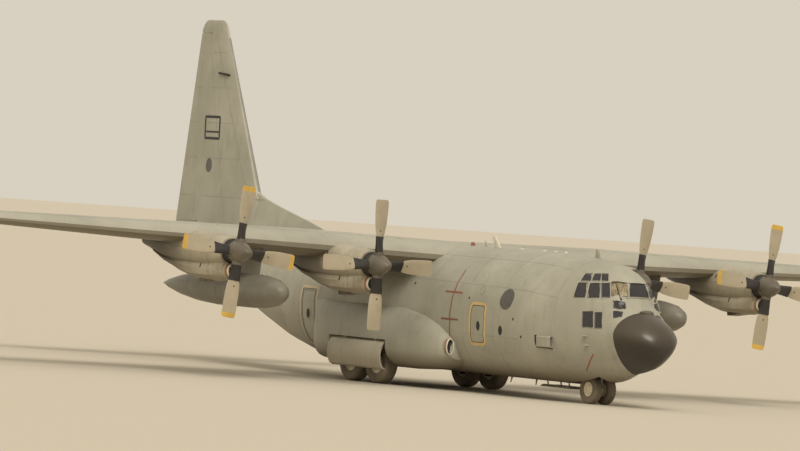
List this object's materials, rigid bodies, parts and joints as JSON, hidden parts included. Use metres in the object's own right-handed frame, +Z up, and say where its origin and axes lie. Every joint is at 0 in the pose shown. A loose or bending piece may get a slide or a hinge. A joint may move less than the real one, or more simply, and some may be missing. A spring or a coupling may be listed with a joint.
{
  "type": "four-engined military transport plane, 1:2 scale model",
  "caption": "High-wing turboprop transport with straight wings, a rear loading ramp, a tall fin and fairings for the main gear.",
  "frame": {"origin": "on the ground, midway along the aircraft's length and on its centre plane", "axes": "+X to the nose, +Y to the left wing tip, +Z up"},
  "size_m": [14.9008, 20.205, 5.8],
  "materials": {
    "grey_paint": "satin, weathered",
    "nacelle_paint": "satin, oily",
    "radome_paint": "satin",
    "glass": "clear, dark",
    "floor_metal": "worn",
    "seat_fabric": "woven",
    "panel_plastic": "matt",
    "propeller_paint": "satin",
    "tyre": "worn rubber",
    "gear_steel": "gloss white"
  },
  "bodies": {
    "airframe": {"radome": "radome_paint", "forward_fuselage": "grey_paint", "cockpit_glazing": "glass", "centre_fuselage": "grey_paint", "paratroop_door_right": "grey_paint", "paratroop_door_left": "grey_paint", "cargo_floor": "floor_metal", "flight_deck": "floor_metal", "aft_fuselage": "grey_paint", "wing_outer_right": "grey_paint", "wing_outer_left": "grey_paint", "wing_centre": "grey_paint", "nacelle_1": "nacelle_paint", "nacelle_2": "nacelle_paint", "nacelle_3": "nacelle_paint", "nacelle_4": "nacelle_paint", "tank_right": "nacelle_paint", "gear_fairing_right": "grey_paint", "main_gear_door_right": "grey_paint", "main_gear_leg_right": "gear_steel", "tank_left": "nacelle_paint", "gear_fairing_left": "grey_paint", "main_gear_door_left": "grey_paint", "main_gear_leg_left": "gear_steel", "nose_gear_leg": "gear_steel", "nose_gear_door": "grey_paint", "fin": "grey_paint", "tailplane": "grey_paint", "copilot_seat": "seat_fabric", "pilot_seat": "seat_fabric", "instrument_panel": "panel_plastic"},
    "main_wheel_front_right": {"main_wheel_front_right": "tyre"},
    "main_wheel_front_left": {"main_wheel_front_left": "tyre"},
    "main_wheel_rear_right": {"main_wheel_rear_right": "tyre"},
    "main_wheel_rear_left": {"main_wheel_rear_left": "tyre"},
    "nose_steering": {"nose_steering_strut": "gear_steel"},
    "nose_wheels": {"nose_wheels": "tyre"},
    "propeller_1": {"propeller_1": "propeller_paint"},
    "propeller_2": {"propeller_2": "propeller_paint"},
    "propeller_3": {"propeller_3": "propeller_paint"},
    "propeller_4": {"propeller_4": "propeller_paint"},
    "crew_door": {"crew_door": "grey_paint"},
    "cargo_ramp": {"cargo_ramp": "grey_paint"},
    "aft_cargo_door": {"aft_cargo_door": "grey_paint"},
    "flap_inner_left": {"flap_inner_left": "grey_paint"},
    "flap_outer_left": {"flap_outer_left": "grey_paint"},
    "aileron_left": {"aileron_left": "grey_paint"},
    "elevator_left": {"elevator_left": "grey_paint"},
    "flap_inner_right": {"flap_inner_right": "grey_paint"},
    "flap_outer_right": {"flap_outer_right": "grey_paint"},
    "aileron_right": {"aileron_right": "grey_paint"},
    "elevator_right": {"elevator_right": "grey_paint"},
    "rudder": {"rudder": "grey_paint"}
  },
  "joints": [
    {"name": "main_wheel_front_right_spin", "type": "hinge", "parent": "airframe", "child": "main_wheel_front_right", "pos_m": [1.2535, -1.0875, 0.325], "axis": [0, 1, 0], "continuous": true},
    {"name": "main_wheel_front_left_spin", "type": "hinge", "parent": "airframe", "child": "main_wheel_front_left", "pos_m": [1.2535, 1.0875, 0.325], "axis": [0, 1, 0], "continuous": true},
    {"name": "main_wheel_rear_right_spin", "type": "hinge", "parent": "airframe", "child": "main_wheel_rear_right", "pos_m": [0.4915, -1.0875, 0.325], "axis": [0, 1, 0], "continuous": true},
    {"name": "main_wheel_rear_left_spin", "type": "hinge", "parent": "airframe", "child": "main_wheel_rear_left", "pos_m": [0.4915, 1.0875, 0.325], "axis": [0, 1, 0], "continuous": true},
    {"name": "nose_steering_turn", "type": "hinge", "parent": "airframe", "child": "nose_steering", "pos_m": [5.7575, 0, 0.45], "axis": [0, 0, 1], "range_deg": [-60, 60]},
    {"name": "nose_wheels_spin", "type": "hinge", "parent": "nose_steering", "child": "nose_wheels", "pos_m": [5.7575, 0, 0.2275], "axis": [0, 1, 0], "continuous": true},
    {"name": "propeller_1_spin", "type": "hinge", "parent": "airframe", "child": "propeller_1", "pos_m": [3.1125, 5.105, 1.97], "axis": [1, 0, 0], "continuous": true},
    {"name": "propeller_2_spin", "type": "hinge", "parent": "airframe", "child": "propeller_2", "pos_m": [3.1125, 2.515, 1.91], "axis": [1, 0, 0], "continuous": true},
    {"name": "propeller_3_spin", "type": "hinge", "parent": "airframe", "child": "propeller_3", "pos_m": [3.1125, -2.515, 1.91], "axis": [1, 0, 0], "continuous": true},
    {"name": "propeller_4_spin", "type": "hinge", "parent": "airframe", "child": "propeller_4", "pos_m": [3.1125, -5.105, 1.97], "axis": [1, 0, 0], "continuous": true},
    {"name": "crew_door_hinge", "type": "hinge", "parent": "airframe", "child": "crew_door", "pos_m": [5.1725, 0.72, 0.4465], "axis": [-1, 0, 0], "range_deg": [0, 92]},
    {"name": "cargo_ramp_hinge", "type": "hinge", "parent": "airframe", "child": "cargo_ramp", "pos_m": [-1.3412, 0, 0.295], "axis": [0, -1, 0], "range_deg": [0, 21]},
    {"name": "aft_cargo_door_hinge", "type": "hinge", "parent": "airframe", "child": "aft_cargo_door", "pos_m": [-5.131, 0, 1.6725], "axis": [0, -1, 0], "range_deg": [0, 21]},
    {"name": "flap_inner_left_hinge", "type": "hinge", "parent": "airframe", "child": "flap_inner_left", "pos_m": [0.2037, 1.9525, 2.12634], "axis": [0, -0.9999, -0.014], "range_deg": [0, 36]},
    {"name": "flap_outer_left_hinge", "type": "hinge", "parent": "airframe", "child": "flap_outer_left", "pos_m": [0.35677, 4.56, 2.16286], "axis": [-0.0864, -0.9962, -0.014], "range_deg": [0, 36]},
    {"name": "aileron_left_hinge", "type": "hinge", "parent": "airframe", "child": "aileron_left", "pos_m": [0.67338, 8.03, 2.21257], "axis": [0.0847, 0.9963, 0.0139], "range_deg": [-20, 20]},
    {"name": "elevator_left_hinge", "type": "hinge", "parent": "airframe", "child": "elevator_left", "pos_m": [-6.40627, 2.15, 2.2], "axis": [-0.0471, 0.9989, 0], "range_deg": [-15, 35]},
    {"name": "flap_inner_right_hinge", "type": "hinge", "parent": "airframe", "child": "flap_inner_right", "pos_m": [0.2037, -1.9525, 2.12634], "axis": [0, -0.9999, 0.014], "range_deg": [0, 36]},
    {"name": "flap_outer_right_hinge", "type": "hinge", "parent": "airframe", "child": "flap_outer_right", "pos_m": [0.35677, -4.56, 2.16286], "axis": [0.0864, -0.9962, 0.014], "range_deg": [0, 36]},
    {"name": "aileron_right_hinge", "type": "hinge", "parent": "airframe", "child": "aileron_right", "pos_m": [0.67338, -8.03, 2.21257], "axis": [-0.0847, 0.9963, -0.0139], "range_deg": [-20, 20]},
    {"name": "elevator_right_hinge", "type": "hinge", "parent": "airframe", "child": "elevator_right", "pos_m": [-6.40627, -2.15, 2.2], "axis": [0.0471, 0.9989, 0], "range_deg": [-15, 35]},
    {"name": "rudder_hinge", "type": "hinge", "parent": "airframe", "child": "rudder", "pos_m": [-6.3175, 0, 3.95], "axis": [0, 0, 1], "range_deg": [-35, 35]}
  ],
  "couplings": [
    {"joint": "aileron_right_hinge", "follows": "aileron_left_hinge", "ratio": -1},
    {"joint": "elevator_right_hinge", "follows": "elevator_left_hinge", "ratio": 1},
    {"joint": "flap_inner_right_hinge", "follows": "flap_outer_left_hinge", "ratio": 1},
    {"joint": "flap_outer_right_hinge", "follows": "flap_outer_left_hinge", "ratio": 1},
    {"joint": "flap_inner_left_hinge", "follows": "flap_outer_left_hinge", "ratio": 1}
  ]
}
